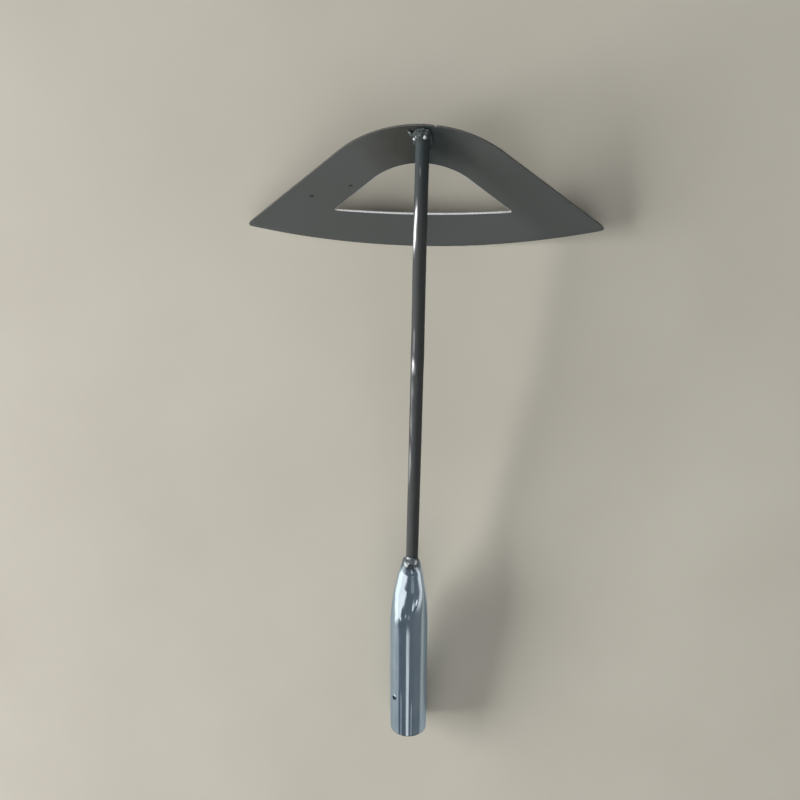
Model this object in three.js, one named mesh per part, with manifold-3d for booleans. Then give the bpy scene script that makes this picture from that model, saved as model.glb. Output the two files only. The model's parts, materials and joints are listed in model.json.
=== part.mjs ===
// The head of a hollow weeding hoe: a crescent blade with a window in it, a neck rod bent twice, and a tube
// socket for a wooden handle. All of it is steel, welded into one rigid tool.
//
// Millimetres, +Z up. The head lies as it rests on a floor: on the middle of its cutting edge and on the
// lower lip of the socket's mouth. +Y runs from the socket to the blade. The origin is on the floor, below
// the middle of the head's bounding box.

import * as THREE from "three";
import { mergeVertices } from "three/addons/utils/BufferGeometryUtils.js";
import Module from "manifold-3d";

const wasm = await Module();
wasm.setup();

const radians = THREE.MathUtils.degToRad;

// Clearance between two pieces that touch on the real tool.
const GAP = 0.3;

// Blade. It is flat: u runs across it, and v runs up it from the middle of the cutting edge.
const PLATE = 2.3;
const BLADE_WIDTH = 279.2; // before the tips are rounded
const BLADE_HEIGHT = 106;
const BLADE_TOP_RADIUS = 94;
const EDGE_SAG = 18.2; // the tips of the cutting edge are this far above its middle
const TIP_ROUNDING = 3;
const EDGE_BEVEL = 4; // width of the bevel ground on the underside
const EDGE_LAND = 0.4; // thickness left at the cutting edge
const BLADE_TILT = radians(34);
const BLADE_TURN = radians(0.44); // welded on slightly turned in its own plane

// The window cut out of the blade.
const WINDOW_WIDTH = 137.4;
const WINDOW_FOOT = 33.1; // v of its two lower corners
const WINDOW_TOP = 75;
const WINDOW_TOP_RADIUS = 54;
const WINDOW_SAG = 2.4;
const WINDOW_ROUNDING = 2;

// Neck rod.
const ROD_DIAMETER = 10;
const ROD_WELD_SIDE = 2.6; // u and v of the rod's end on the blade
const ROD_WELD_HEIGHT = 93.75;
const ROD_END_OVERHANG = 3.5; // how far the rod runs past that point before it meets the plate
const BEND_REACH = 14; // a bend starts and ends this far from its corner
const ROD_IN_SOCKET = 22;
const ROD_FOOT_SIDE = 1.7; // how far the rod's foot is off the socket's axis

// Handle socket: a tube whose front end is pressed down onto the rod in four flutes.
const TUBE_RADIUS = 16;
const TUBE_WALL = 1.5;
const TUBE_STRAIGHT = 106;
const TUBE_SWAGE = 66;
const COLLAR_RADIUS = 6.6; // outside of the pressed end, round the rod
const SWAGE_FULLNESS = 0.85; // under 1 bulges the pressed part outwards
const SWAGE_DRIFT = 1.6; // the pressed end is drawn this far sideways to meet the rod
const FLUTE_DEPTH = 0.24; // share of the radius
const FLUTE_WIDTH = radians(24);
const SIDE_FLUTE_SHARE = 0.15; // the flutes at the sides are shallower than those at the front and back
const NAIL_HOLE_DIAMETER = 4;
const NAIL_HOLE_FROM_MOUTH = 38;
const NAIL_HOLE_TURN = radians(-47); // from straight up towards -X

// Weld beads.
const BLADE_BEAD_RADIUS = 3.4;
const BLADE_BEAD_COUNT = 9;
const COLLAR_BEAD_RADIUS = 2;
const COLLAR_BEAD_COUNT = 12;

// Places in the tool's frame.
const EDGE_MIDDLE = new THREE.Vector3(-0.6, 169, EDGE_LAND * Math.cos(BLADE_TILT));
const UPPER_BEND = new THREE.Vector3(1.5, 189.4, 57.8);
const LOWER_BEND = new THREE.Vector3(1, 92.7, 52.9);
const SOCKET_PITCH = radians(6.05); // the socket rises this much towards the blade
const MOUTH = new THREE.Vector3(-3.8, -256.6, TUBE_RADIUS * Math.cos(SOCKET_PITCH));

const socketLength = TUBE_STRAIGHT + TUBE_SWAGE;

// --- Solids ---

// A closed three.js geometry as a solid that can be joined and cut.
function solidOf(geometry) {
  const bare = geometry.clone();
  bare.deleteAttribute("normal");
  bare.deleteAttribute("uv");
  const merged = mergeVertices(bare, 1e-4);
  const vertProperties = new Float32Array(merged.attributes.position.array);
  const triVerts = new Uint32Array(merged.index.array);
  return new wasm.Manifold(new wasm.Mesh({ numProp: 3, vertProperties, triVerts }));
}

// A solid back as a three.js geometry.
function geometryOf(solid) {
  const mesh = solid.getMesh();
  const geometry = new THREE.BufferGeometry();
  geometry.setAttribute("position", new THREE.BufferAttribute(mesh.vertProperties, mesh.numProp));
  geometry.setIndex(new THREE.BufferAttribute(mesh.triVerts, 1));
  geometry.computeVertexNormals();
  return geometry;
}

// A steel piece with its own material.
function steelPiece(name, geometry, color, roughness) {
  const material = new THREE.MeshStandardMaterial({ color, roughness, metalness: 1 });
  const mesh = new THREE.Mesh(geometry, material);
  mesh.name = name;
  return mesh;
}

// --- Blade ---

// Where the straight line from (x, y) touches a circle on the Y axis: the angle of that point on the circle.
function tangentAngle(x, y, centreY, radius) {
  const distance = Math.hypot(x, y - centreY);
  return Math.atan2(y - centreY, x) + Math.acos(radius / distance);
}

// A point on the way from one point to another, at a given distance from the first.
function towards(from, to, distance) {
  return from.clone().lerp(to, distance / from.distanceTo(to));
}

// Draws a bow, anticlockwise: a round top with straight flanks that run down to the two feet at (x, y) and
// (-x, y). The path starts near the right foot and stops near the left one, each time short by the rounding.
function drawBow(path, x, y, top, radius, rounding) {
  const centreY = top - radius;
  const angle = tangentAngle(x, y, centreY, radius);
  const shoulder = new THREE.Vector2(radius * Math.cos(angle), centreY + radius * Math.sin(angle));
  const start = towards(new THREE.Vector2(x, y), shoulder, rounding);
  path.moveTo(start.x, start.y);
  path.absarc(0, centreY, radius, angle, Math.PI - angle, false);
  path.lineTo(-start.x, start.y);
  return start;
}

function bladeOutline() {
  const half = BLADE_WIDTH / 2;
  const edgeRadius = (half ** 2 + EDGE_SAG ** 2) / (2 * EDGE_SAG);
  const swing = Math.asin(half / edgeRadius) - TIP_ROUNDING / edgeRadius;
  const edgeStart = -swing - Math.PI / 2;
  const edgeEnd = swing - Math.PI / 2;
  const edgeX = edgeRadius * Math.cos(edgeStart);
  const edgeY = edgeRadius + edgeRadius * Math.sin(edgeStart);
  const shape = new THREE.Shape();
  const flank = drawBow(shape, half, EDGE_SAG, BLADE_HEIGHT, BLADE_TOP_RADIUS, TIP_ROUNDING);
  shape.quadraticCurveTo(-half, EDGE_SAG, edgeX, edgeY);
  shape.absarc(0, edgeRadius, edgeRadius, edgeStart, edgeEnd, false);
  shape.quadraticCurveTo(half, EDGE_SAG, flank.x, flank.y);
  return { shape, edgeRadius };
}

function windowOutline() {
  const half = WINDOW_WIDTH / 2;
  const sillX = half - WINDOW_ROUNDING;
  const path = new THREE.Path();
  const flank = drawBow(path, half, WINDOW_FOOT, WINDOW_TOP, WINDOW_TOP_RADIUS, WINDOW_ROUNDING);
  path.quadraticCurveTo(-half, WINDOW_FOOT, -sillX, WINDOW_FOOT);
  path.quadraticCurveTo(0, WINDOW_FOOT - 2 * WINDOW_SAG, sillX, WINDOW_FOOT);
  path.quadraticCurveTo(half, WINDOW_FOOT, flank.x, flank.y);
  return path;
}

// The steel that grinding takes off the underside along the cutting edge: a ring with a three-sided section.
function edgeGrinding(edgeRadius) {
  const slope = (PLATE - EDGE_LAND) / EDGE_BEVEL;
  const outside = 2;
  const below = 1;
  const profile = [
    new THREE.Vector2(edgeRadius - EDGE_BEVEL - below / slope, -PLATE - below),
    new THREE.Vector2(edgeRadius + outside, -PLATE - below),
    new THREE.Vector2(edgeRadius + outside, -EDGE_LAND + outside * slope),
  ];
  profile.push(profile[0].clone());
  const ring = new THREE.LatheGeometry(profile, 360);
  ring.rotateX(Math.PI / 2);
  ring.translate(0, edgeRadius, 0);
  return ring;
}

function bladeGeometry() {
  const { shape, edgeRadius } = bladeOutline();
  shape.holes.push(windowOutline());
  const plate = new THREE.ExtrudeGeometry(shape, { depth: PLATE, bevelEnabled: false, curveSegments: 16 });
  plate.translate(0, 0, -PLATE);
  const ground = geometryOf(solidOf(plate).subtract(solidOf(edgeGrinding(edgeRadius))));
  ground.translate(0, -ROD_WELD_HEIGHT, 0);
  ground.rotateZ(BLADE_TURN);
  ground.translate(0, ROD_WELD_HEIGHT, 0);
  return ground;
}

const blade = steelPiece("blade", bladeGeometry(), 0x525556, 0.35);
blade.position.copy(EDGE_MIDDLE);
blade.rotation.x = BLADE_TILT;
blade.updateMatrixWorld();

// A point (u, v) of the blade's upper face, lifted off it by a height, in the tool's frame.
function onBlade(u, v, height) {
  return new THREE.Vector3(u, v, height).applyMatrix4(blade.matrixWorld);
}

// Everything under the blade's upper face and within the gap above it, near the rod's weld.
function bladeClearance() {
  const size = 80;
  const block = new THREE.BoxGeometry(size, size, size);
  block.translate(0, ROD_WELD_HEIGHT, GAP - size / 2);
  block.applyMatrix4(blade.matrixWorld);
  return solidOf(block);
}

// --- Neck rod ---

// The socket's group is needed first, because the rod's foot is placed in it.
const socketGroup = new THREE.Group();
socketGroup.position.copy(MOUTH);
socketGroup.rotation.x = SOCKET_PITCH;
socketGroup.updateMatrixWorld();

// The rod's centreline: straight runs joined by round bends.
function rodPath() {
  const onPlate = onBlade(ROD_WELD_SIDE, ROD_WELD_HEIGHT, ROD_DIAMETER / 2);
  const overhang = onPlate.clone().sub(UPPER_BEND).setLength(ROD_END_OVERHANG);
  const foot = new THREE.Vector3(ROD_FOOT_SIDE, socketLength - ROD_IN_SOCKET, 0);
  foot.applyMatrix4(socketGroup.matrixWorld);
  const corners = [onPlate.add(overhang), UPPER_BEND, LOWER_BEND, foot];
  const path = new THREE.CurvePath();
  let from = corners[0];
  for (let i = 1; i < corners.length - 1; i++) {
    const bendStart = towards(corners[i], corners[i - 1], BEND_REACH);
    const bendEnd = towards(corners[i], corners[i + 1], BEND_REACH);
    path.add(new THREE.LineCurve3(from, bendStart));
    path.add(new THREE.QuadraticBezierCurve3(bendStart, corners[i], bendEnd));
    from = bendEnd;
  }
  path.add(new THREE.LineCurve3(from, foot));
  return path;
}

function rodGeometry(diameter) {
  const section = new THREE.Shape();
  section.absarc(0, 0, diameter / 2, 0, 2 * Math.PI, false);
  return new THREE.ExtrudeGeometry(section, { extrudePath: rodPath(), steps: 56, curveSegments: 12 });
}

// The rod with the gap round it, in the tool's frame and in the socket's.
const rodClearance = rodGeometry(ROD_DIAMETER + 2 * GAP);
const rodClearanceInSocket = rodClearance.clone().applyMatrix4(socketGroup.matrixWorld.clone().invert());

const neckRod = steelPiece(
  "neck_rod",
  geometryOf(solidOf(rodGeometry(ROD_DIAMETER)).subtract(bladeClearance())),
  0x424547,
  0.3,
);

// --- Handle socket ---
// The socket is built with its mouth at the origin and its axis along +Y, and its group lays it down.

// The outside radius of the pressed end before it is fluted. The share is 0 where the pressing starts and 1
// at the end.
function swageRadius(share) {
  const closing = Math.cos((share * Math.PI) / 2) ** SWAGE_FULLNESS;
  return COLLAR_RADIUS + (TUBE_RADIUS - COLLAR_RADIUS) * closing;
}

// How far the flutes draw the wall in, as a share of the radius, at an angle round the axis from +Z.
function fluteDepth(share, angle) {
  const along = Math.sin(Math.PI * share) ** 2;
  let deepest = 0;
  for (const [middle, strength] of [[0, 1], [0.5, SIDE_FLUTE_SHARE], [1, 1], [1.5, SIDE_FLUTE_SHARE]]) {
    const turn = angle - middle * Math.PI;
    const offset = Math.atan2(Math.sin(turn), Math.cos(turn));
    deepest = Math.max(deepest, strength * Math.exp(-((offset / FLUTE_WIDTH) ** 2)));
  }
  return FLUTE_DEPTH * along * deepest;
}

// The socket's skin as one turned solid, thinner by the wall when it stands for the hollow inside.
function socketSkin(wall, startAt) {
  const rings = 14;
  const profile = [new THREE.Vector2(0, startAt), new THREE.Vector2(TUBE_RADIUS - wall, startAt)];
  for (let i = 0; i <= rings; i++) {
    const share = i / rings;
    profile.push(new THREE.Vector2(swageRadius(share) - wall, TUBE_STRAIGHT + TUBE_SWAGE * share));
  }
  profile.push(new THREE.Vector2(0, socketLength));
  const skin = new THREE.LatheGeometry(profile, 48);
  const position = skin.attributes.position;
  for (let i = 0; i < position.count; i++) {
    const [x, y, z] = [position.getX(i), position.getY(i), position.getZ(i)];
    const share = THREE.MathUtils.clamp((y - TUBE_STRAIGHT) / TUBE_SWAGE, 0, 1);
    const pressed = 1 - fluteDepth(share, Math.atan2(x, z));
    position.setXYZ(i, x * pressed + SWAGE_DRIFT * share ** 2, y, z * pressed);
  }
  return solidOf(skin);
}

function socketGeometry() {
  const nailRadius = NAIL_HOLE_DIAMETER / 2;
  const nailHole = new THREE.CylinderGeometry(nailRadius, nailRadius, 2 * TUBE_RADIUS, 24);
  nailHole.translate(0, TUBE_RADIUS, 0);
  nailHole.rotateX(Math.PI / 2);
  nailHole.rotateY(NAIL_HOLE_TURN);
  nailHole.translate(0, NAIL_HOLE_FROM_MOUTH, 0);
  return geometryOf(
    socketSkin(0, 0)
      .subtract(socketSkin(TUBE_WALL, -1))
      .subtract(solidOf(rodClearanceInSocket))
      .subtract(solidOf(nailHole)),
  );
}

const handleSocket = steelPiece("handle_socket", socketGeometry(), 0x93a1ab, 0.2);

// --- Weld beads ---

// Overlapping drops of weld metal as one solid.
function beads(centres, radius) {
  const drops = centres.map((centre) => {
    const drop = new THREE.IcosahedronGeometry(radius, 2);
    drop.translate(centre.x, centre.y, centre.z);
    return solidOf(drop);
  });
  return drops.reduce((run, drop) => run.add(drop));
}

// The bead that holds the rod to the blade runs round the rod's end in a horseshoe.
function bladeWeldGeometry() {
  const reach = ROD_DIAMETER / 2 + 0.6;
  const centres = [];
  for (let i = 0; i < BLADE_BEAD_COUNT; i++) {
    const turn = Math.PI * (i / (BLADE_BEAD_COUNT - 1));
    const u = ROD_WELD_SIDE + reach * Math.cos(turn);
    centres.push(onBlade(u, ROD_WELD_HEIGHT + 2 + 7 * Math.sin(turn), 1.2));
  }
  return geometryOf(
    beads(centres, BLADE_BEAD_RADIUS)
      .subtract(solidOf(rodClearance))
      .subtract(bladeClearance()),
  );
}

// The bead that closes the socket's pressed end on the rod is a ring of drops just past the end.
function collarWeldGeometry() {
  const reach = ROD_DIAMETER / 2 + 0.5;
  const centres = [];
  for (let i = 0; i < COLLAR_BEAD_COUNT; i++) {
    const turn = (2 * Math.PI * i) / COLLAR_BEAD_COUNT;
    const x = ROD_FOOT_SIDE + reach * Math.sin(turn);
    centres.push(new THREE.Vector3(x, socketLength + GAP, reach * Math.cos(turn)));
  }
  const socketBelow = new THREE.BoxGeometry(4 * TUBE_RADIUS, socketLength, 4 * TUBE_RADIUS);
  socketBelow.translate(0, socketLength / 2 + GAP, 0);
  return geometryOf(
    beads(centres, COLLAR_BEAD_RADIUS)
      .subtract(solidOf(socketBelow))
      .subtract(solidOf(rodClearanceInSocket)),
  );
}

const bladeWeld = steelPiece("blade_weld", bladeWeldGeometry(), 0x54585a, 0.4);
const collarWeld = steelPiece("collar_weld", collarWeldGeometry(), 0x8f9aa2, 0.3);

// --- Assembly ---

socketGroup.add(handleSocket, collarWeld);

const hoeHead = new THREE.Group();
hoeHead.add(blade, neckRod, bladeWeld, socketGroup);

export default hoeHead;
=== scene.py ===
import json
import math
import random

import bmesh
import bpy
from mathutils import Matrix, Vector, noise


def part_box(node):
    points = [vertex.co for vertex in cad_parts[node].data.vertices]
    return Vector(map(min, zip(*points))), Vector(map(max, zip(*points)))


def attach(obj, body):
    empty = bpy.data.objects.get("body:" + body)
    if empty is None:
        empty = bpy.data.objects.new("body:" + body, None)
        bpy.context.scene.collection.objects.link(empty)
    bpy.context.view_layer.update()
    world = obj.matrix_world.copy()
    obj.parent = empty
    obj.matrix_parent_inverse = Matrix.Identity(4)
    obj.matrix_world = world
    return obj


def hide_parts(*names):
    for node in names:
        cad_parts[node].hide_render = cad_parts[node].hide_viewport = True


# The head of a hollow weeding hoe, on a pale floor: a crescent blade with a window, a bent neck rod and a
# tube socket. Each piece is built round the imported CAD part, in metres, with its wear and its surface.

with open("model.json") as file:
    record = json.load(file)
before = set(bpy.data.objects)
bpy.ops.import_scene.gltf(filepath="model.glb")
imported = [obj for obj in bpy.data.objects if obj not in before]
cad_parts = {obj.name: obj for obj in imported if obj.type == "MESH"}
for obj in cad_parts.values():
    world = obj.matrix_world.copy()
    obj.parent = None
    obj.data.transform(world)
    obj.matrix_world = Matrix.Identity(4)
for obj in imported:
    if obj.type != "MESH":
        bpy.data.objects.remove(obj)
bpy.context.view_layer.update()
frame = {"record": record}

MM = 0.001
radians = math.radians

# --- Sizes that the CAD part has too ---

PLATE = 2.3 * MM
BLADE_WIDTH = 279.2 * MM  # before the tips are rounded
BLADE_HEIGHT = 106 * MM
BLADE_TOP_RADIUS = 94 * MM
EDGE_SAG = 18.2 * MM
EDGE_BEVEL = 4 * MM
EDGE_LAND = 0.4 * MM
BLADE_TILT = radians(34)
BLADE_TURN = radians(0.44)

WINDOW_WIDTH = 137.4 * MM
WINDOW_FOOT = 33.1 * MM
WINDOW_TOP = 75 * MM
WINDOW_TOP_RADIUS = 54 * MM
WINDOW_SAG = 2.4 * MM

ROD_RADIUS = 5 * MM
ROD_WELD_SIDE = 2.6 * MM
ROD_WELD_HEIGHT = 93.75 * MM
ROD_END_OVERHANG = 3.5 * MM
ROD_IN_SOCKET = 22 * MM
ROD_FOOT_SIDE = 1.7 * MM
BEND_REACH = 14 * MM
UPPER_BEND = Vector((1.5, 189.4, 57.8)) * MM
LOWER_BEND = Vector((1, 92.7, 52.9)) * MM

TUBE_RADIUS = 16 * MM
TUBE_WALL = 1.5 * MM
TUBE_STRAIGHT = 106 * MM
TUBE_SWAGE = 66 * MM
COLLAR_RADIUS = 6.6 * MM
SWAGE_FULLNESS = 0.85
SWAGE_DRIFT = 1.6 * MM
NAIL_HOLE_RADIUS = 2 * MM
NAIL_HOLE_FROM_MOUTH = 38 * MM
NAIL_HOLE_TURN = radians(-47)

# --- Camera ---

CAMERA_PLACE = Vector((48.6, 226.7, 676.6)) * MM
CAMERA_AIM = Vector((-16.9, 42.2, 0)) * MM
CAMERA_ROLL = radians(0.81)
CAMERA_LENS = 38.12


def add_camera():
    """The camera above the blade, looking down and back along the tool."""
    back = (CAMERA_PLACE - CAMERA_AIM).normalized()
    right = Vector((0, 1, 0)).cross(back).normalized()
    turned = Matrix((right, back.cross(right), back)).transposed() @ Matrix.Rotation(CAMERA_ROLL, 3, "Z")
    camera = bpy.data.objects.new("camera", bpy.data.cameras.new("camera"))
    camera.data.lens = CAMERA_LENS
    camera.matrix_world = Matrix.Translation(CAMERA_PLACE) @ turned.to_4x4()
    bpy.context.scene.collection.objects.link(camera)
    bpy.context.scene.camera = camera


# --- Places of the pieces' own frames ---


def blade_place():
    """The blade's own frame: x across it, y up it from the middle of its cutting edge, z off its face."""
    middle = Vector((0, ROD_WELD_HEIGHT, 0))
    turn = Matrix.Translation(middle) @ Matrix.Rotation(BLADE_TURN, 4, "Z") @ Matrix.Translation(-middle)
    low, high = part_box("blade")
    side = (low.x + high.x) / 2 - math.sin(BLADE_TURN) * (ROD_WELD_HEIGHT - EDGE_SAG)
    edge = Vector((side, low.y, EDGE_LAND * math.cos(BLADE_TILT)))
    return Matrix.Translation(edge) @ Matrix.Rotation(BLADE_TILT, 4, "X") @ turn


def socket_place():
    """The socket's own frame: its mouth's middle at the origin, and y along its axis towards the rod."""
    mount = frame["record"]["mounts"][0]
    pitch = Matrix.Rotation(math.asin(-mount["axis"][2]), 4, "X")
    rim_height = pitch.to_3x3() @ Vector((0, 0, TUBE_RADIUS - TUBE_WALL / 2))
    return Matrix.Translation(Vector(mount["pos_m"]) - rim_height) @ pitch


BLADE = blade_place()
SOCKET = socket_place()
SOCKET_LENGTH = TUBE_STRAIGHT + TUBE_SWAGE

# --- Meshes ---


def smooth_step(low, high, value):
    """0 below low, 1 above high, and an S-shaped rise in between."""
    share = min(1, max(0, (value - low) / (high - low)))
    return share * share * (3 - 2 * share)


def bump_at(value, middle, width):
    """A bell shape, 1 at the middle."""
    return math.exp(-(((value - middle) / width) ** 2))


def spread(low, high, count):
    """Evenly spaced values from low to high, both included."""
    return [low + (high - low) * i / (count - 1) for i in range(count)]


def wobble(x, y, z, size):
    """Smooth noise from -1 to 1, with features of about that size."""
    return noise.noise(Vector((x, y, z)) / size)


def ring_mesh(name, rings, closed=False):
    """Quads between rings of points. The last ring joins the first if closed, or else both are capped."""
    mesh = bmesh.new()
    rows = [[mesh.verts.new(point) for point in ring] for ring in rings]
    pairs = list(zip(rows, rows[1:]))
    if closed:
        pairs.append((rows[-1], rows[0]))
    for row, following in pairs:
        for i in range(len(row)):
            mesh.faces.new((row[i - 1], row[i], following[i], following[i - 1]))
    if not closed:
        for row in (rows[0], rows[-1]):
            middle = sum((vert.co for vert in row), Vector()) / len(row)
            pole = mesh.verts.new(middle)
            for i in range(len(row)):
                mesh.faces.new((row[i - 1], row[i], pole))
    bmesh.ops.recalc_face_normals(mesh, faces=mesh.faces)
    return finished(name, mesh)


def finished(name, mesh):
    """A smooth-shaded object made from a bmesh."""
    for face in mesh.faces:
        face.smooth = True
    data = bpy.data.meshes.new(name)
    mesh.to_mesh(data)
    mesh.free()
    piece = bpy.data.objects.new(name, data)
    bpy.context.scene.collection.objects.link(piece)
    return piece


def apply_modifiers(piece):
    """Swaps the piece's mesh for the one that its modifiers make."""
    graph = bpy.context.evaluated_depsgraph_get()
    data = bpy.data.meshes.new_from_object(piece.evaluated_get(graph))
    piece.modifiers.clear()
    piece.data = data


def add_piece(piece, node, materials, place=None):
    """Puts a finished piece in its place, where it stands for its CAD node."""
    if place:
        piece.matrix_world = place
    piece.data.materials.clear()
    for material in materials:
        piece.data.materials.append(material)
    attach(piece, "root")
    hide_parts(node)


# --- Blade ---

BLADE_TOP_SECTIONS = 420
BLADE_EDGE_SECTIONS = 200
BLADE_STATIONS = 16  # across the plate, between the rounded rims
TIP_ROUNDING = 4.5 * MM  # worn rounder than the CAD part's, and the window's corners too
WINDOW_ROUNDING = 4.5 * MM
ARRIS = 0.3 * MM
WINDOW_ARRIS = 0.6 * MM
ARRIS_FACES = 3
LONGEST_BEVEL = 40 * MM  # along a line that crosses the cutting edge at a slant
DISH = 0.12 * MM
DISH_SPREAD = 70 * MM
SHEAR_WAVER = 0.07 * MM
SHEAR_SPREAD = 2.5 * MM
NICK_SIDE = 11.5 * MM
NICK_WIDTH = 1.5 * MM
NICK_DEPTH = 1.3 * MM


def curve_through(start, corner, end, count):
    """Points of a quadratic curve, without its last one."""
    points = []
    for i in range(count):
        share = i / count
        points.append(start.lerp(corner, share).lerp(corner.lerp(end, share), share))
    return points


def bow_points(half, foot, top, radius, rounding):
    """A round top with straight flanks, anticlockwise from near the right foot to near the left one."""
    centre = Vector((0, top - radius))
    corner = Vector((half, foot))
    reach = corner - centre
    angle = math.atan2(reach.y, reach.x) + math.acos(radius / reach.length)
    arc = []
    for turn in spread(angle, math.pi - angle, 160):
        arc.append(centre + radius * Vector((math.cos(turn), math.sin(turn))))
    start = corner.lerp(arc[0], rounding / (arc[0] - corner).length)
    return [start, *arc, Vector((-start.x, start.y))]


def resample(points, count):
    """Points evenly spaced along a line of points, without its last one."""
    lengths = [0]
    for point, following in zip(points, points[1:]):
        lengths.append(lengths[-1] + (following - point).length)
    made = []
    at = 0
    for i in range(count):
        wanted = lengths[-1] * i / count
        while lengths[at + 1] < wanted:
            at += 1
        share = (wanted - lengths[at]) / (lengths[at + 1] - lengths[at])
        made.append(points[at].lerp(points[at + 1], share))
    return made


def outline(bow, foot, sill, corner_steps=12):
    """A closed outline from its right corner, in two runs: over the bow, and back along the sill."""
    left_turn = curve_through(bow[-1], Vector((-foot.x, foot.y)), sill[0], corner_steps)
    right_turn = curve_through(sill[-1], foot, bow[0], corner_steps)
    half = corner_steps // 2
    over = [*right_turn[half:], *bow, *left_turn[1 : half + 1]]
    back = [*left_turn[half:], *sill, *right_turn[1 : half + 1]]
    return resample(over, BLADE_TOP_SECTIONS) + resample(back, BLADE_EDGE_SECTIONS)


def cutting_edge_radius():
    return ((BLADE_WIDTH / 2) ** 2 + EDGE_SAG**2) / (2 * EDGE_SAG)


def blade_outline():
    half = BLADE_WIDTH / 2
    radius = cutting_edge_radius()
    swing = math.asin(half / radius) - TIP_ROUNDING / radius
    edge = []
    for turn in spread(-swing, swing, 120):
        edge.append(Vector((radius * math.sin(turn), radius - radius * math.cos(turn))))
    bow = bow_points(half, EDGE_SAG, BLADE_HEIGHT, BLADE_TOP_RADIUS, TIP_ROUNDING)
    return outline(bow, Vector((half, EDGE_SAG)), edge)


def window_outline():
    half = WINDOW_WIDTH / 2
    reach = half - WINDOW_ROUNDING
    sill = []
    for x in spread(-reach, reach, 60):
        sill.append(Vector((x, WINDOW_FOOT - WINDOW_SAG * (1 - (x / reach) ** 2))))
    bow = bow_points(half, WINDOW_FOOT, WINDOW_TOP, WINDOW_TOP_RADIUS, WINDOW_ROUNDING)
    return outline(bow, Vector((half, WINDOW_FOOT)), sill)


def plate_thickness(x, y):
    """The plate's thickness, which the bevel under the cutting edge takes down to its land."""
    radius = cutting_edge_radius()
    inwards = radius - math.hypot(x, y - radius)
    return EDGE_LAND + (PLATE - EDGE_LAND) * min(1, max(0, inwards / EDGE_BEVEL))


def bevel_reach(rim, across):
    """How far along a line across the plate, from its rim, the bevel under the cutting edge ends."""
    step = 0.05 * MM
    reach = 0
    while plate_thickness(*(rim + across * reach)) < PLATE and reach < LONGEST_BEVEL:
        reach += step
    return reach


def plate_section(rim, inner):
    """The closed section of the plate between a point of its outline and one of the window's."""
    width = (inner - rim).length
    across = (inner - rim) / width
    start = max(bevel_reach(rim, across), 2 * ARRIS)
    thin = plate_thickness(rim.x, rim.y)
    outer_arris = min(ARRIS, thin * 0.4)
    round_off = [(1 - math.cos(a), 1 - math.sin(a)) for a in spread(0, math.pi / 2, ARRIS_FACES + 1)]
    stations = [(along * outer_arris, drop * outer_arris) for along, drop in round_off]
    stations += [(at, 0) for at in spread(start, width - 2 * WINDOW_ARRIS, BLADE_STATIONS)]
    stations += [(width - along * WINDOW_ARRIS, drop * WINDOW_ARRIS) for along, drop in reversed(round_off)]
    face = []
    back = []
    for at, drop in stations:
        place = rim + across * at
        dish = DISH * wobble(place.x, place.y, 0, DISH_SPREAD)
        face.append(Vector((place.x, place.y, dish - drop)))
        back.append(Vector((place.x, place.y, dish + drop - plate_thickness(place.x, place.y))))
    return face + back[::-1]


def nicked(point, inward):
    """A point of the outline with the nick and the shear's slight unevenness in it."""
    depth = SHEAR_WAVER * wobble(point.x, point.y, 3, SHEAR_SPREAD)
    if point.y > ROD_WELD_HEIGHT:
        depth += NICK_DEPTH * max(0, 1 - abs(point.x - NICK_SIDE) / NICK_WIDTH)
    return point + inward * depth


def make_blade(face_steel, cut_steel, rim_steel):
    sections = []
    for rim, inner in zip(blade_outline(), window_outline()):
        inward = (inner - rim).normalized()
        sections.append(plate_section(nicked(rim, inward), inner))
    blade = ring_mesh("blade_plate", sections, closed=True)
    add_piece(blade, "blade", [face_steel, cut_steel, rim_steel], BLADE)
    mark_cut_faces(blade, len(sections[0]))


def mark_cut_faces(blade, ring_size):
    """Gives the window's rim and the ground bevel the bare steel, and the outer rim the duller one."""
    per_side = ring_size // 2
    for face in blade.data.polygons:
        at = face.index % ring_size
        at_window = abs(at - per_side) <= ARRIS_FACES
        at_rim = at <= ARRIS_FACES or at >= ring_size - ARRIS_FACES
        ground = at > per_side and plate_thickness(face.center.x, face.center.y) < PLATE * 0.999
        if at_window or ground:
            face.material_index = 1
        elif at_rim:
            face.material_index = 2


# --- Neck rod ---

ROD_COLUMNS = 40
ROD_STEP = 1.6 * MM
BEND_FLATTENING = 0.03
BEND_SPREAD = 10 * MM
ROD_WAVER = 0.05 * MM
ROD_WAVER_SPREAD = 9 * MM
ROD_NOSE = 0.6 * MM
ROD_NOSE_RINGS = [(0.6, 1), (0.86, 0.8), (0.95, 0.45)]  # the share of the rod's radius, and of its nose
PAINTED_HIGHLIGHT_ATTRIBUTE = "painted_highlight"
# Painted highlight streaks where the rod's bends catch the light, pale grey where faint and near white
# where
# strong: the middle's y, half the length, the angle from straight up towards +X, how much that angle
# changes from the middle to an end, half the width as an angle, and how strong the painted highlight is.
PAINTED_HIGHLIGHTS = [
    (UPPER_BEND.y - 3 * MM, 19 * MM, radians(-42), radians(-11), radians(16), 1),
    (UPPER_BEND.y + 36 * MM, 4 * MM, radians(-9), radians(0), radians(8), 0.42),
    (LOWER_BEND.y + 11 * MM, 10 * MM, radians(-31), radians(0), radians(8), 0.65),
    (LOWER_BEND.y - 8 * MM, 7 * MM, radians(-36), radians(0), radians(18), 0.7),
    (LOWER_BEND.y - 43 * MM, 27 * MM, radians(-42), radians(-3), radians(18), 0.3),
    (LOWER_BEND.y - 90 * MM, 18 * MM, radians(-46), radians(-4), radians(14), 0.6),
]


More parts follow.
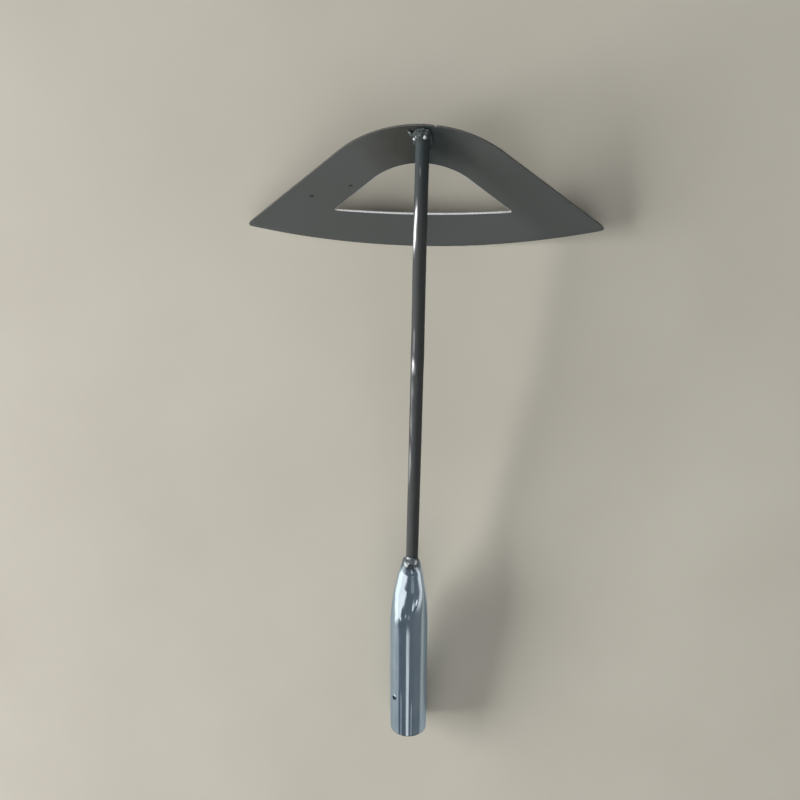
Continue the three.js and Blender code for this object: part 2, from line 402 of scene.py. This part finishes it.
def rod_line():
    """The rod's centreline as points, with the share of a bend that each is in."""
    on_plate = BLADE @ Vector((ROD_WELD_SIDE, ROD_WELD_HEIGHT, ROD_RADIUS))
    end = on_plate + (on_plate - UPPER_BEND).normalized() * ROD_END_OVERHANG
    foot = SOCKET @ Vector((ROD_FOOT_SIDE, SOCKET_LENGTH - ROD_IN_SOCKET, 0))
    corners = [end, UPPER_BEND, LOWER_BEND, foot]
    points = []
    at = end
    for before, corner, after in zip(corners, corners[1:], corners[2:]):
        bend_start = corner + (before - corner).normalized() * BEND_REACH
        bend_end = corner + (after - corner).normalized() * BEND_REACH
        points += [at.lerp(bend_start, share) for share in steps_between(at, bend_start)]
        points += curve_through(bend_start, corner, bend_end, 18)
        at = bend_end
    points += [at.lerp(foot, share) for share in steps_between(at, foot)]
    return [*points, foot]


def steps_between(start, end):
    count = max(2, round((end - start).length / ROD_STEP))
    return [i / count for i in range(count)]


def make_neck_rod(steel):
    line = rod_line()
    rings = []
    painted_highlight_strengths = [[0] * ROD_COLUMNS for _ in ROD_NOSE_RINGS]
    angles = [2 * math.pi * column / ROD_COLUMNS for column in range(ROD_COLUMNS)]
    for i, middle in enumerate(line):
        along = (line[min(i + 1, len(line) - 1)] - line[max(i - 1, 0)]).normalized()
        side = (Vector((1, 0, 0)) - along * along.x).normalized()
        above = along.cross(side)
        bent = max(bump_at(middle.y, bend.y, BEND_SPREAD) for bend in (UPPER_BEND, LOWER_BEND))
        ring = []
        for angle in angles:
            out = side * math.sin(angle) * (1 + BEND_FLATTENING * bent)
            out += above * math.cos(angle) * (1 - BEND_FLATTENING * bent)
            uneven = ROD_WAVER * wobble(*(middle + out * ROD_RADIUS), ROD_WAVER_SPREAD)
            ring.append(middle + out * (ROD_RADIUS + uneven))
        rings.append(ring)
        painted_highlight_strengths.append([painted_highlight_at(middle.y, angle) for angle in angles])
    nose = (line[0] - line[1]).normalized() * ROD_NOSE
    rounded = []
    for wide, far in ROD_NOSE_RINGS:
        rounded.append([line[0].lerp(point, wide) + nose * far for point in rings[0]])
    rings = [on_face(ring) for ring in [*rounded, *rings]]
    rod = ring_mesh("neck_rod_bar", rings)
    # The strength of the painted highlight streaks, kept on each point for the rod's material.
    painted_highlight = rod.data.attributes.new(PAINTED_HIGHLIGHT_ATTRIBUTE, "FLOAT", "POINT")
    for i, amount in enumerate(sum(painted_highlight_strengths, [])):
        painted_highlight.data[i].value = amount
    add_piece(rod, "neck_rod", [steel])


def painted_highlight_at(along, angle):
    """How strong the painted highlight is, at a place along the rod and an angle from straight up towards
    +X.
    """
    total = 0
    for middle, length, turn, drift, width, amount in PAINTED_HIGHLIGHTS:
        offset = (along - middle) / length
        # Every streak is to the left of the top, so the angle is taken as one before a whole turn.
        from_line = angle - 2 * math.pi - (turn - drift * offset)
        total += amount * math.exp(-(offset**4)) * bump_at(from_line, 0, width)
    return min(1, total)


def on_face(ring):
    """A ring of the rod, cut off at the blade's face where it would go into the plate."""
    cut = []
    for point in ring:
        local = BLADE.inverted() @ point
        if local.z < 0 and local.y > WINDOW_TOP - 2 * MM:
            local.z = 0
        cut.append(BLADE @ local)
    return cut


# --- Handle socket ---

SOCKET_COLUMNS = 192
COLLAR_LIP = 0.6 * MM
BACK_FOLD = 1.2 * MM
BACK_FOLD_WIDTH = radians(5)
TUBE_WAVER = 0.04 * MM
# The bends of the pressed end against a round tube's, by the way that the wall faces, in degrees from
# straight up towards +X: a wide facet on each shoulder, a wide top, and tight sides. The underside is the
# same, turned half-way round.
PRESSED_BENDS = [
    (-90, 4.5),
    (-84, 0.12),
    (-54, 0.12),
    (-46, 1.7),
    (-20, 1.7),
    (-12, 1.4),
    (14, 1.35),
    (20, 0.7),
    (44, 0.62),
    (54, 0.4),
    (70, 0.25),
    (84, 0.2),
    (90, 4.5),
]
# Dents of the press: the share of the swage, its spread, the angle from straight up, its spread, and the
# depth. A negative depth is a bulge.
DENTS = [
    (0.47, 0.08, radians(14), radians(5), 1.3 * MM),
    (0.37, 0.06, radians(-24), radians(4), -0.12 * MM),
    (0.3, 0.06, radians(-12), radians(8), 0.5 * MM),
    (0.24, 0.03, radians(-20), radians(3), -0.2 * MM),
    (0.18, 0.08, radians(-48), radians(30), -0.28 * MM),
]
# Draw marks near the mouth: the angle from straight up, its spread, and the depth.
MOUTH_MARKS = [
    (radians(-21), radians(3), 0.3 * MM),
    (radians(12.5), radians(3), 0.2 * MM),
    (radians(-38), radians(4), 0.1 * MM),
]


def column_turns():
    """The way that each column's wall faces, from straight up towards +X, closest together at the top."""
    even = [2 * math.pi * column / SOCKET_COLUMNS for column in range(SOCKET_COLUMNS)]
    return [turn - 0.5 * math.sin(turn) for turn in even]


TURNS = column_turns()


def pressed_bend(turn):
    degrees = (math.degrees(turn) + 90) % 180 - 90
    for (before, low), (after, high) in zip(PRESSED_BENDS, PRESSED_BENDS[1:]):
        if degrees <= after:
            return low + (high - low) * (degrees - before) / (after - before)


def pressed_outline():
    """The pressed end's outline, 2 wide, as a point for each column, seen from the mouth."""
    steps = 12
    at = Vector((0, 0))
    points = []
    for turn, following in zip(TURNS, [*TURNS[1:], 2 * math.pi]):
        points.append(at.copy())
        for i in range(steps):
            facing = turn + (following - turn) * (i + 0.5) / steps
            step = Vector((math.cos(facing), -math.sin(facing))) * pressed_bend(facing)
            at += step * (following - turn) / steps
    xs = [point.x for point in points]
    ys = [point.y for point in points]
    middle = Vector((min(xs) + max(xs), min(ys) + max(ys))) / 2
    return [(point - middle) * 2 / (max(xs) - min(xs)) for point in points]


PRESSED = pressed_outline()


def swage_radius(share):
    closing = max(0, math.cos(share * math.pi / 2)) ** SWAGE_FULLNESS
    return COLLAR_RADIUS + (TUBE_RADIUS - COLLAR_RADIUS) * closing


def press_depth(along, share, turn):
    """How far the wall is pushed in, at a place along it and a way that it faces."""
    front = math.atan2(math.sin(turn), math.cos(turn))
    back = math.atan2(math.sin(turn + math.pi), math.cos(turn + math.pi))
    folded = smooth_step(0.42, 0.6, share) * (1 - smooth_step(0.9, 1, share))
    depth = BACK_FOLD * folded * bump_at(back, 0, BACK_FOLD_WIDTH)
    for middle, length, angle, width, deep in DENTS:
        depth += deep * bump_at(share, middle, length) * bump_at(front, angle, width)
    for angle, width, deep in MOUTH_MARKS:
        depth += deep * (1 - smooth_step(30 * MM, 60 * MM, along)) * bump_at(front, angle, width)
    return depth


def socket_skin(along, column, wall):
    """A point of the socket's outside, or of its inside where wall is its thickness."""
    share = min(1, max(0, (along - TUBE_STRAIGHT) / TUBE_SWAGE))
    turn = TURNS[column]
    out = Vector((math.sin(turn), math.cos(turn)))
    pressed = smooth_step(0.24, 0.64, share) * (1 - smooth_step(0.82, 1, share))
    place = out.lerp(PRESSED[column], pressed) * swage_radius(share)
    # The lip stands out on the left, and is drawn in on the right.
    lip = COLLAR_LIP * smooth_step(0.93, 1, share) * (0.3 - 0.7 * math.sin(turn + 0.4))
    uneven = TUBE_WAVER * wobble(out.x, out.y, along / (40 * MM), 0.6)
    place += out * (lip + uneven - wall - press_depth(along, share, turn))
    drift = SWAGE_DRIFT * share**2
    return Vector((place.x + drift, along, place.y))


def socket_rings():
    """Rings round the axis, from the mouth along the outside and back along the inside."""
    half = TUBE_WALL / 2
    outside = [(along, 0) for along in (*spread(half, TUBE_STRAIGHT - 2 * MM, 40), *swage_stations())]
    inside = [(along, TUBE_WALL) for along, _ in reversed(outside)]
    collar = [(SOCKET_LENGTH - half + half * math.sin(a), half - half * math.cos(a)) for a in round_turn()]
    mouth = [(half - half * math.sin(a), half + half * math.cos(a)) for a in round_turn()]
    rings = []
    for along, wall in [*outside, *collar, *inside, *mouth]:
        rings.append([socket_skin(along, column, wall) for column in range(SOCKET_COLUMNS)])
    return rings


def swage_stations():
    """Distances from the mouth along the part that closes down onto the rod."""
    return spread(TUBE_STRAIGHT, SOCKET_LENGTH - TUBE_WALL, 90)


def round_turn():
    """Angles half-way round, without the two ends."""
    return spread(0, math.pi, 8)[1:-1]


def drill(piece, radius, start, direction, depth):
    """Cuts a round hole into a piece."""
    mesh = bmesh.new()
    bmesh.ops.create_cone(mesh, cap_ends=True, segments=48, radius1=radius, radius2=radius, depth=depth)
    cutter = finished("cutter", mesh)
    cutter.matrix_world = Matrix.Translation(start) @ direction.to_track_quat("Z", "Y").to_matrix().to_4x4()
    cut = piece.modifiers.new("hole", "BOOLEAN")
    cut.object = cutter
    cut.solver = "EXACT"
    apply_modifiers(piece)
    bpy.data.objects.remove(cutter)


def nail_hole():
    """The hole's place on the tube's skin and the way out of it, in the socket's own frame."""
    out = Vector((math.sin(NAIL_HOLE_TURN), 0, math.cos(NAIL_HOLE_TURN)))
    return out * TUBE_RADIUS + Vector((0, NAIL_HOLE_FROM_MOUTH, 0)), out


def make_socket(chrome):
    socket = ring_mesh("handle_socket_tube", socket_rings(), closed=True)
    hole, out = nail_hole()
    drill(socket, NAIL_HOLE_RADIUS, hole, out, TUBE_RADIUS)
    socket.data.shade_smooth()
    socket.data.set_sharp_from_angle(angle=radians(40))
    add_piece(socket, "handle_socket", [chrome], SOCKET)


# --- Welds ---

WELD_LUMP = 0.08 * MM
WELD_LUMP_SPREAD = 2.6 * MM
# The blade's weld, from the middle of the rod's end: the line of a mound round the rod, caps over it with
# their radius and number of drops, ridges, and beads with their radius. The beads get a painted highlight.
WELD_MIDDLE = Vector((ROD_WELD_SIDE, ROD_WELD_HEIGHT, 0))
WELD_MOUND = [
    Vector((5, -1, 0.4)) * MM,
    Vector((5.2, 4, 1)) * MM,
    Vector((3.6, 7.4, 1.2)) * MM,
    Vector((0, 8.4, 1.4)) * MM,
    Vector((-3.8, 7.4, 1.2)) * MM,
    Vector((-5.6, 4, 1)) * MM,
    Vector((-5, -1, 0.4)) * MM,
]
MOUND_RADIUS = 2.2 * MM
WELD_CAPS = [
    (Vector((-2.6, 6, 3.4)) * MM, Vector((2.6, 6, 3.4)) * MM, 2.7 * MM, 6),
    (Vector((-1.6, 6.2, 5.6)) * MM, Vector((1.6, 6.2, 5.6)) * MM, 2.2 * MM, 5),
]
WELD_RIDGES = [
    (Vector((-7.2, 4.8, 1.6)) * MM, Vector((-10, 8.4, 0.6)) * MM),
    (Vector((-5.4, 5.2, 4.4)) * MM, Vector((-0.4, 9.2, 6.6)) * MM),
]
# The crests of the ridges get a painted highlight, like the beads.
RIDGE_RADIUS = 1 * MM
CREST_RADIUS = 0.74 * MM
CREST_SHARES = (0.3, 0.55, 0.8)  # places along a ridge
WELD_BEADS_WITH_PAINTED_GLINTS = [
    (Vector((2, 7.2, 7)) * MM, 1.1 * MM),
    (Vector((-5.7, 4.2, 4.2)) * MM, 1.2 * MM),
]
# The collar's weld, from the middle of the socket's pressed end: rows of drops across the rod's top, by
# their distance towards the blade in millimetres, a number of drops all round, and beads with their radius.
# The beads get a painted highlight.
COLLAR_MIDDLE = Vector((ROD_FOOT_SIDE, SOCKET_LENGTH - 1.4 * MM, 0))
COLLAR_ROWS = (-1.4, 2.2, 4)
COLLAR_ROW_WIDTH = 7 * MM
COLLAR_DROPS = 24
COLLAR_BEADS_WITH_PAINTED_GLINTS = [
    (Vector((-2.2, 5.4, 4.8)) * MM, 1.5 * MM),
    (Vector((-3.2, 0.6, 5)) * MM, 2.4 * MM),
    (Vector((3.6, 3.8, 5)) * MM, 1.3 * MM),
    (Vector((3.8, 1.8, 5.2)) * MM, 1.3 * MM),
]


def weld_metal(name, drops, voxel):
    """Drops of weld metal, each a middle and a radius, run together into one lumpy body."""
    mesh = bmesh.new()
    for middle, radius in drops:
        ball = bmesh.ops.create_icosphere(mesh, subdivisions=3, radius=radius)
        bmesh.ops.translate(mesh, verts=ball["verts"], vec=middle)
    weld = finished(name, mesh)
    fuse = weld.modifiers.new("fuse", "REMESH")
    fuse.mode = "VOXEL"
    fuse.voxel_size = voxel
    settle = weld.modifiers.new("settle", "SMOOTH")
    settle.factor = 0.5
    settle.iterations = 12
    apply_modifiers(weld)
    for vert in weld.data.vertices:
        vert.co += vert.normal * WELD_LUMP * wobble(*vert.co, WELD_LUMP_SPREAD)
    weld.data.shade_smooth()
    return weld


def bead_run(start, end, radius, count, chance):
    """Overlapping drops along a line, each a little off it."""
    drops = []
    for share in spread(0, 1, count):
        shake = Vector((chance.uniform(-1, 1), chance.uniform(-1, 1), chance.uniform(-0.4, 0.4)))
        size = radius * chance.uniform(0.8, 1.15)
        drops.append((start.lerp(end, share) + shake * radius * 0.18, size))
    return drops


def weld_beads_with_painted_glints():
    """The beads of the blade's weld and the crests of its ridges, smoother and with a painted highlight, in
    the blade's own frame.
    """
    beads = [(WELD_MIDDLE + place, radius) for place, radius in WELD_BEADS_WITH_PAINTED_GLINTS]
    for start, end in WELD_RIDGES:
        for share in CREST_SHARES:
            beads.append((WELD_MIDDLE + start.lerp(end, share), CREST_RADIUS))
    return beads


def collar_beads_with_painted_glints():
    """The beads of the collar's weld, smoother and with a painted highlight, in the socket's own frame."""
    return [(COLLAR_MIDDLE + place, radius) for place, radius in COLLAR_BEADS_WITH_PAINTED_GLINTS]


def make_blade_weld(steel):
    """A low mound of weld metal round the rod's end, with a V of two ridges and two beads, all with painted
    highlights.
    """
    chance = random.Random(5)
    runs = [(start, end, MOUND_RADIUS, 5) for start, end in zip(WELD_MOUND, WELD_MOUND[1:])]
    runs += WELD_CAPS
    runs += [(start, end, RIDGE_RADIUS, 9) for start, end in WELD_RIDGES]
    drops = []
    for start, end, radius, count in runs:
        drops += bead_run(WELD_MIDDLE + start, WELD_MIDDLE + end, radius, count, chance)
    drops += weld_beads_with_painted_glints()
    weld = weld_metal("blade_weld_bead", drops, 0.3 * MM)
    add_piece(weld, "blade_weld", [steel], BLADE)


def make_collar_weld(chrome):
    """Weld metal round the rod where it leaves the socket, with beads on its left and its right that have a
    painted highlight.
    """
    chance = random.Random(11)
    reach = ROD_RADIUS + 0.5 * MM
    drops = []
    for i in range(COLLAR_DROPS):
        turn = 2 * math.pi * i / COLLAR_DROPS
        place = COLLAR_MIDDLE + reach * Vector((math.sin(turn), 0, math.cos(turn)))
        drops.append((place, chance.uniform(1.3, 1.6) * MM))
    for along in COLLAR_ROWS:
        left = COLLAR_MIDDLE + Vector((-3.4, along, 4.9)) * MM
        right = left + Vector((COLLAR_ROW_WIDTH, 0, 0))
        drops += bead_run(left, right, 2 * MM, 9, chance)
    drops += collar_beads_with_painted_glints()
    weld = weld_metal("collar_weld_bead", drops, 0.24 * MM)
    add_piece(weld, "collar_weld", [chrome], SOCKET)


# --- Materials ---

# Pits in the blade's face, as places in the blade's own frame with a radius.
BLADE_PITS = [
    ((-84.5 * MM, 47 * MM, 0), 1.2 * MM),
    ((-52 * MM, 55.5 * MM, 0), 1.1 * MM),
]


def steel_tree(name, metallic=1):
    """A new material with its node tree and its shader. Under 1, metallic mixes in a matt oxide skin."""
    material = bpy.data.materials.new(name)
    material.use_nodes = True
    shader = material.node_tree.nodes["Principled BSDF"]
    shader.inputs["Metallic"].default_value = metallic
    return material, material.node_tree, shader


def add_node(tree, kind, inputs=None, **settings):
    """A new shader node. An input is a value, or another node's output to link."""
    made = tree.nodes.new("ShaderNode" + kind)
    for name, value in settings.items():
        setattr(made, name, value)
    for name, value in (inputs or {}).items():
        if isinstance(value, bpy.types.NodeSocket):
            tree.links.new(value, made.inputs[name])
        else:
            made.inputs[name].default_value = value
    return made


def own_coordinates(tree):
    return add_node(tree, "TexCoord").outputs["Object"]


def grain(tree, coordinates, scale, stretch=(1, 1, 1), detail=3, roughness=0.5):
    """Noise about 0.5. The scale is features a metre. A larger stretch packs them closer on that axis."""
    mapped = add_node(tree, "Mapping", {"Vector": coordinates, "Scale": stretch})
    settings = {"Vector": mapped.outputs[0], "Scale": scale, "Detail": detail, "Roughness": roughness}
    return add_node(tree, "TexNoise", settings).outputs["Fac"]


def remap(tree, value, low, high, to_low=0, to_high=1):
    """A value from low to high as one from to_low to to_high, held at the ends."""
    inputs = {"Value": value, "From Min": low, "From Max": high, "To Min": to_low, "To Max": to_high}
    return add_node(tree, "MapRange", inputs).outputs["Result"]


def mixed(tree, factor, first, second):
    """Two colours mixed. Each is a colour or a socket."""
    node = add_node(tree, "Mix", data_type="RGBA")
    for index, value in ((0, factor), (6, first), (7, second)):
        if isinstance(value, bpy.types.NodeSocket):
            tree.links.new(value, node.inputs[index])
        else:
            node.inputs[index].default_value = value if index == 0 else (*value, 1)
    return node.outputs[2]


def maths(tree, operation, *values):
    node = add_node(tree, "Math", operation=operation)
    for index, value in enumerate(values):
        if isinstance(value, bpy.types.NodeSocket):
            tree.links.new(value, node.inputs[index])
        else:
            node.inputs[index].default_value = value
    return node.outputs[0]


def near(tree, coordinates, place, inner, outer):
    """1 within the inner distance of a place, and 0 beyond the outer one."""
    away = add_node(tree, "VectorMath", {0: coordinates, 1: place}, operation="DISTANCE")
    return remap(tree, away.outputs["Value"], inner, outer, 1, 0)


def bumped(tree, shader, heights):
    """Bump from several heights, each with its depth in metres, one after another."""
    normal = None
    for height, depth in heights:
        bump = add_node(tree, "Bump", {"Height": height, "Distance": depth, "Strength": 1})
        if normal:
            tree.links.new(normal, bump.inputs["Normal"])
        normal = bump.outputs["Normal"]
    tree.links.new(normal, shader.inputs["Normal"])


def blade_face_steel():
    """Dark rolled plate: faint rolling marks, a few pits, and a darker patch round the weld, browner on its
    left.
    """
    material, tree, shader = steel_tree("blade_face_steel", 0.4)
    place = own_coordinates(tree)
    rolled = grain(tree, place, 60, stretch=(1, 14, 1), detail=4)
    cloud = grain(tree, place, 14, detail=2)
    fine = grain(tree, place, 1500, detail=2)
    dull = mixed(tree, remap(tree, rolled, 0.3, 0.7), (0.105, 0.115, 0.113), (0.118, 0.128, 0.126))
    shade = mixed(tree, remap(tree, cloud, 0.3, 0.7), dull, (0.108, 0.114, 0.111))
    # Darker round the weld, browner on its left and bluer on its right.
    tint_middle = (ROD_WELD_SIDE - 3 * MM, ROD_WELD_HEIGHT, 0)
    shake = tint_shake(tree, place)
    ragged = add_node(tree, "VectorMath", {0: place, 1: shake}, operation="ADD").outputs[0]
    near_weld = near(tree, ragged, tint_middle, 16 * MM, 46 * MM)
    side = add_node(tree, "SeparateXYZ", {0: place}).outputs["X"]
    tint = mixed(tree, remap(tree, side, -12 * MM, 6 * MM), (0.056, 0.054, 0.045), (0.04, 0.051, 0.053))
    tinted = mixed(tree, maths(tree, "MULTIPLY", near_weld, 0.85), shade, tint)
    speck = remap(tree, grain(tree, place, 150, detail=1), 0.8, 0.81)
    for pit, radius in BLADE_PITS:
        speck = maths(tree, "MAXIMUM", speck, near(tree, ragged, pit, radius, radius * 1.5))
    speckled = mixed(tree, maths(tree, "MULTIPLY", speck, 0.8), tinted, (0.02, 0.02, 0.02))
    tree.links.new(speckled, shader.inputs["Base Color"])
    tree.links.new(remap(tree, rolled, 0.3, 0.7, 0.4, 0.48), shader.inputs["Roughness"])
    bumped(tree, shader, [(rolled, 0.02 * MM), (fine, 0.006 * MM), (speck, -0.05 * MM)])
    return material


def tint_shake(tree, place):
    """A small shift of a place, which makes the edge of the darker patch round the weld ragged."""
    noise_node = add_node(tree, "TexNoise", {"Vector": place, "Scale": 90, "Detail": 3})
    middle = {0: noise_node.outputs["Color"], 1: (0.5, 0.5, 0.5)}
    centred = add_node(tree, "VectorMath", middle, operation="SUBTRACT").outputs[0]
    return add_node(tree, "VectorMath", {0: centred, "Scale": 14 * MM}, operation="SCALE").outputs[0]


def edge_steel(name, dark, light):
    """Bare steel of a sheared or ground edge, with the tool's marks across it."""
    material, tree, shader = steel_tree(name, 0.6)
    place = own_coordinates(tree)
    shear = grain(tree, place, 900, stretch=(1, 1, 0.1), detail=3)
    shade = mixed(tree, remap(tree, shear, 0.3, 0.7), dark, light)
    tree.links.new(shade, shader.inputs["Base Color"])
    tree.links.new(remap(tree, shear, 0.3, 0.7, 0.35, 0.5), shader.inputs["Roughness"])
    bumped(tree, shader, [(shear, 0.04 * MM)])
    return material


def rod_steel():
    """Dark drawn bar, with lengthwise marks, painted highlight streaks, and a darker, bluer patch at its
    welded end.
    """
    material, tree, shader = steel_tree("rod_steel", 0.05)
    place = own_coordinates(tree)
    drawn = grain(tree, place, 700, stretch=(1, 0.03, 1), detail=3)
    cloud = grain(tree, place, 60, stretch=(1, 0.5, 1), detail=3)
    dark = mixed(tree, remap(tree, drawn, 0.3, 0.7), (0.052, 0.054, 0.055), (0.064, 0.067, 0.069))
    shade = mixed(tree, remap(tree, cloud, 0.35, 0.65), dark, (0.056, 0.059, 0.061))
    # Darker and bluer towards the welded end.
    weld = tuple(BLADE @ Vector((ROD_WELD_SIDE, ROD_WELD_HEIGHT, ROD_RADIUS)))
    tinted = mixed(tree, near(tree, place, weld, 8 * MM, 45 * MM), shade, (0.045, 0.056, 0.06))
    painted_highlight = add_node(tree, "Attribute", attribute_name=PAINTED_HIGHLIGHT_ATTRIBUTE).outputs["Fac"]
    ragged = maths(tree, "ADD", painted_highlight, remap(tree, drawn, 0.3, 0.7, -0.15, 0.15))
    # Painted highlight streaks: pale grey where faint, near white where strong.
    thin = mixed(tree, remap(tree, ragged, 0.12, 0.4), tinted, (0.17, 0.175, 0.18))
    bright_highlight = remap(tree, ragged, 0.5, 0.75)
    tree.links.new(mixed(tree, bright_highlight, thin, (0.93, 0.94, 0.95)), shader.inputs["Base Color"])
    tree.links.new(remap(tree, drawn, 0.3, 0.7, 0.36, 0.48), shader.inputs["Roughness"])
    shader.inputs["Specular IOR Level"].default_value = 0.15
    bumped(tree, shader, [(drawn, 0.02 * MM), (cloud, 0.05 * MM)])
    return material


def socket_chrome():
    """Blue-white plated tube with draw marks, haze, pits, dark ends, and a burr round the nail hole."""
    material, tree, shader = steel_tree("socket_chrome")
    place = own_coordinates(tree)
    drawn = grain(tree, place, 420, stretch=(1, 0.012, 1), detail=2)
    haze = grain(tree, place, 90, stretch=(1, 0.4, 1), detail=4)
    pits = remap(tree, grain(tree, place, 800, detail=2), 0.7, 0.74)
    shade = mixed(tree, remap(tree, haze, 0.35, 0.65), (0.54, 0.68, 0.84), (0.6, 0.74, 0.9))
    pitted = mixed(tree, maths(tree, "MULTIPLY", pits, 0.5), shade, (0.2, 0.22, 0.24))
    hole = tuple(nail_hole()[0])
    along = add_node(tree, "SeparateXYZ", {0: place}).outputs["Y"]
    mouth = remap(tree, along, 0.7 * MM, 1.5 * MM, 0.8, 0)
    burnt = remap(tree, along, SOCKET_LENGTH - 8 * MM, SOCKET_LENGTH - 3 * MM, 0, 0.7)
    ends = maths(tree, "MAXIMUM", mouth, burnt)
    dulled = mixed(tree, ends, pitted, (0.1, 0.105, 0.11))
    burr = near(tree, place, hole, NAIL_HOLE_RADIUS, NAIL_HOLE_RADIUS + 1.4 * MM)
    tree.links.new(dulled, shader.inputs["Base Color"])
    shader.inputs["Specular Tint"].default_value = (0.66, 0.78, 0.9, 1)
    tree.links.new(remap(tree, haze, 0.3, 0.7, 0.1, 0.18), shader.inputs["Roughness"])
    heights = [(drawn, 0.08 * MM), (haze, 0.015 * MM), (pits, -0.02 * MM), (burr, 0.4 * MM)]
    bumped(tree, shader, heights)
    return material


def weld_steel(name, dark, light, beads):
    """Weld metal, mottled, with a painted highlight and a smoother finish on the beads at the given places
    of the piece's own frame.
    """
    material, tree, shader = steel_tree(name, 0.5)
    place = own_coordinates(tree)
    mottle = grain(tree, place, 260, detail=3)
    shade = mixed(tree, remap(tree, mottle, 0.35, 0.65), dark, light)
    for bead, radius in beads:
        # Near-white painted highlight on each bead.
        shade = mixed(tree, near(tree, place, bead, radius, radius * 1.4), shade, (0.84, 0.9, 0.94))
    tree.links.new(shade, shader.inputs["Base Color"])
    rough = remap(tree, mottle, 0.3, 0.7, 0.36, 0.5)
    for bead, radius in beads:
        polish = remap(tree, near(tree, place, bead, radius, radius * 1.4), 0, 1, 1, 0.5)
        rough = maths(tree, "MULTIPLY", rough, polish)
    tree.links.new(rough, shader.inputs["Roughness"])
    bumped(tree, shader, [(mottle, 0.03 * MM)])
    return material


# --- Studio ---

WARM_WHITE = (1, 0.9, 0.78)


def add_floor():
    """A plain pale floor."""
    mesh = bmesh.new()
    bmesh.ops.create_grid(mesh, x_segments=1, y_segments=1, size=6)
    floor = finished("floor", mesh)
    material = bpy.data.materials.new("pale_floor")
    material.use_nodes = True
    tree = material.node_tree
    shader = tree.nodes["Principled BSDF"]
    place = own_coordinates(tree)
    cloud = grain(tree, place, 6, detail=5)
    shade = mixed(tree, remap(tree, cloud, 0.3, 0.7), (0.5, 0.469, 0.398), (0.54, 0.51, 0.437))
    tree.links.new(shade, shader.inputs["Base Color"])
    shader.inputs["Roughness"].default_value = 0.6
    floor.data.materials.append(material)


def add_light(name, place, aim, size, radiance, colour=(1, 1, 1)):
    """A rectangular light of an even radiance, which the camera doesn't see."""
    lamp = bpy.data.lights.new(name, "AREA")
    lamp.shape = "RECTANGLE"
    lamp.size, lamp.size_y = size
    lamp.energy = radiance * math.pi * size[0] * size[1]
    lamp.color = colour
    light = bpy.data.objects.new(name, lamp)
    light.location = place
    light.rotation_euler = (Vector(aim) - Vector(place)).to_track_quat("-Z", "Y").to_euler()
    light.visible_camera = False
    bpy.context.scene.collection.objects.link(light)
    return light


def add_lamp(name, place, aim, size, radiance):
    """A soft light on the matt surfaces, which shiny ones don't mirror."""
    add_light(name, place, aim, size, radiance).visible_glossy = False


def add_card(name, place, aim, size, radiance, colour=WARM_WHITE):
    """A card for shiny surfaces to mirror, which doesn't light the matt ones."""
    add_light(name, place, aim, size, radiance, colour).visible_diffuse = False


def add_room():
    """A dim room for the steel to mirror, a little paler on the right, with a pale wall on the left."""
    world = bpy.data.worlds.new("studio")
    world.use_nodes = True
    tree = world.node_tree
    background = tree.nodes["Background"]
    direction = add_node(tree, "TexCoord").outputs["Generated"]
    parts = add_node(tree, "SeparateXYZ", {0: direction}).outputs
    low = remap(tree, parts["Z"], 0.32, 0.345, 1, 0)
    left = remap(tree, parts["X"], -0.2, -0.4)
    right = remap(tree, parts["X"], 0.15, 0.6)
    dim = mixed(tree, right, (0.125, 0.135, 0.14), (0.165, 0.17, 0.165))
    wall = mixed(tree, maths(tree, "MULTIPLY", low, left), dim, (0.44, 0.435, 0.415))
    tree.links.new(wall, background.inputs["Color"])
    bpy.context.scene.world = world


def add_lights():
    """A bright lamp low on the left, a weak one overhead, and cards round about for the steel to mirror."""
    add_card("window", (-1.9, -0.1, 1.3), (0, -0.1, 1.3), (2.2, 2.6), 1.12)
    add_card("curtain", (-1.9, -1.35, 0.6), (0, -1.35, 0.6), (0.3, 1.2), 0.35)
    add_lamp("window_light", (-2.9, 0, 1.1), (0, 0, 0), (2.4, 0.95), 20)
    add_card("right_window", (1.7, -0.6, 1.15), (0, -0.1, 0.3), (0.7, 1.8), 0.8)
    add_card("overhead_strip", (-0.07, -1.9, 1.26), (0, -0.1, 0), (0.45, 1.2), 0.75)
    add_card("ceiling_card", (-0.09, -1.1, 2.32), (0, -0.11, 0), (0.8, 0.32), 0.2)
    add_card("back_card", (0, 2, 0.5), (0, 0, 0), (2.6, 1), 2, colour=(1, 1, 1))
    add_lamp("room", (0, -1.3, 2.1), (0, 0, 0), (4, 3), 0.95)


# --- Assembly ---

add_camera()
add_room()
add_lights()
add_floor()
sheared = edge_steel("cut_edge_steel", (0.62, 0.64, 0.66), (0.9, 0.92, 0.94))
weathered = edge_steel("outer_rim_steel", (0.1, 0.1, 0.095), (0.17, 0.17, 0.165))
make_blade(blade_face_steel(), sheared, weathered)
make_neck_rod(rod_steel())
make_socket(socket_chrome())
make_blade_weld(weld_steel("blade_weld_steel", (0.06, 0.073, 0.075), (0.078, 0.092, 0.094), weld_beads_with_painted_glints()))
make_collar_weld(weld_steel("collar_weld_chrome", (0.12, 0.14, 0.155), (0.18, 0.21, 0.23), collar_beads_with_painted_glints()))

bpy.context.scene.view_settings.view_transform = "Standard"
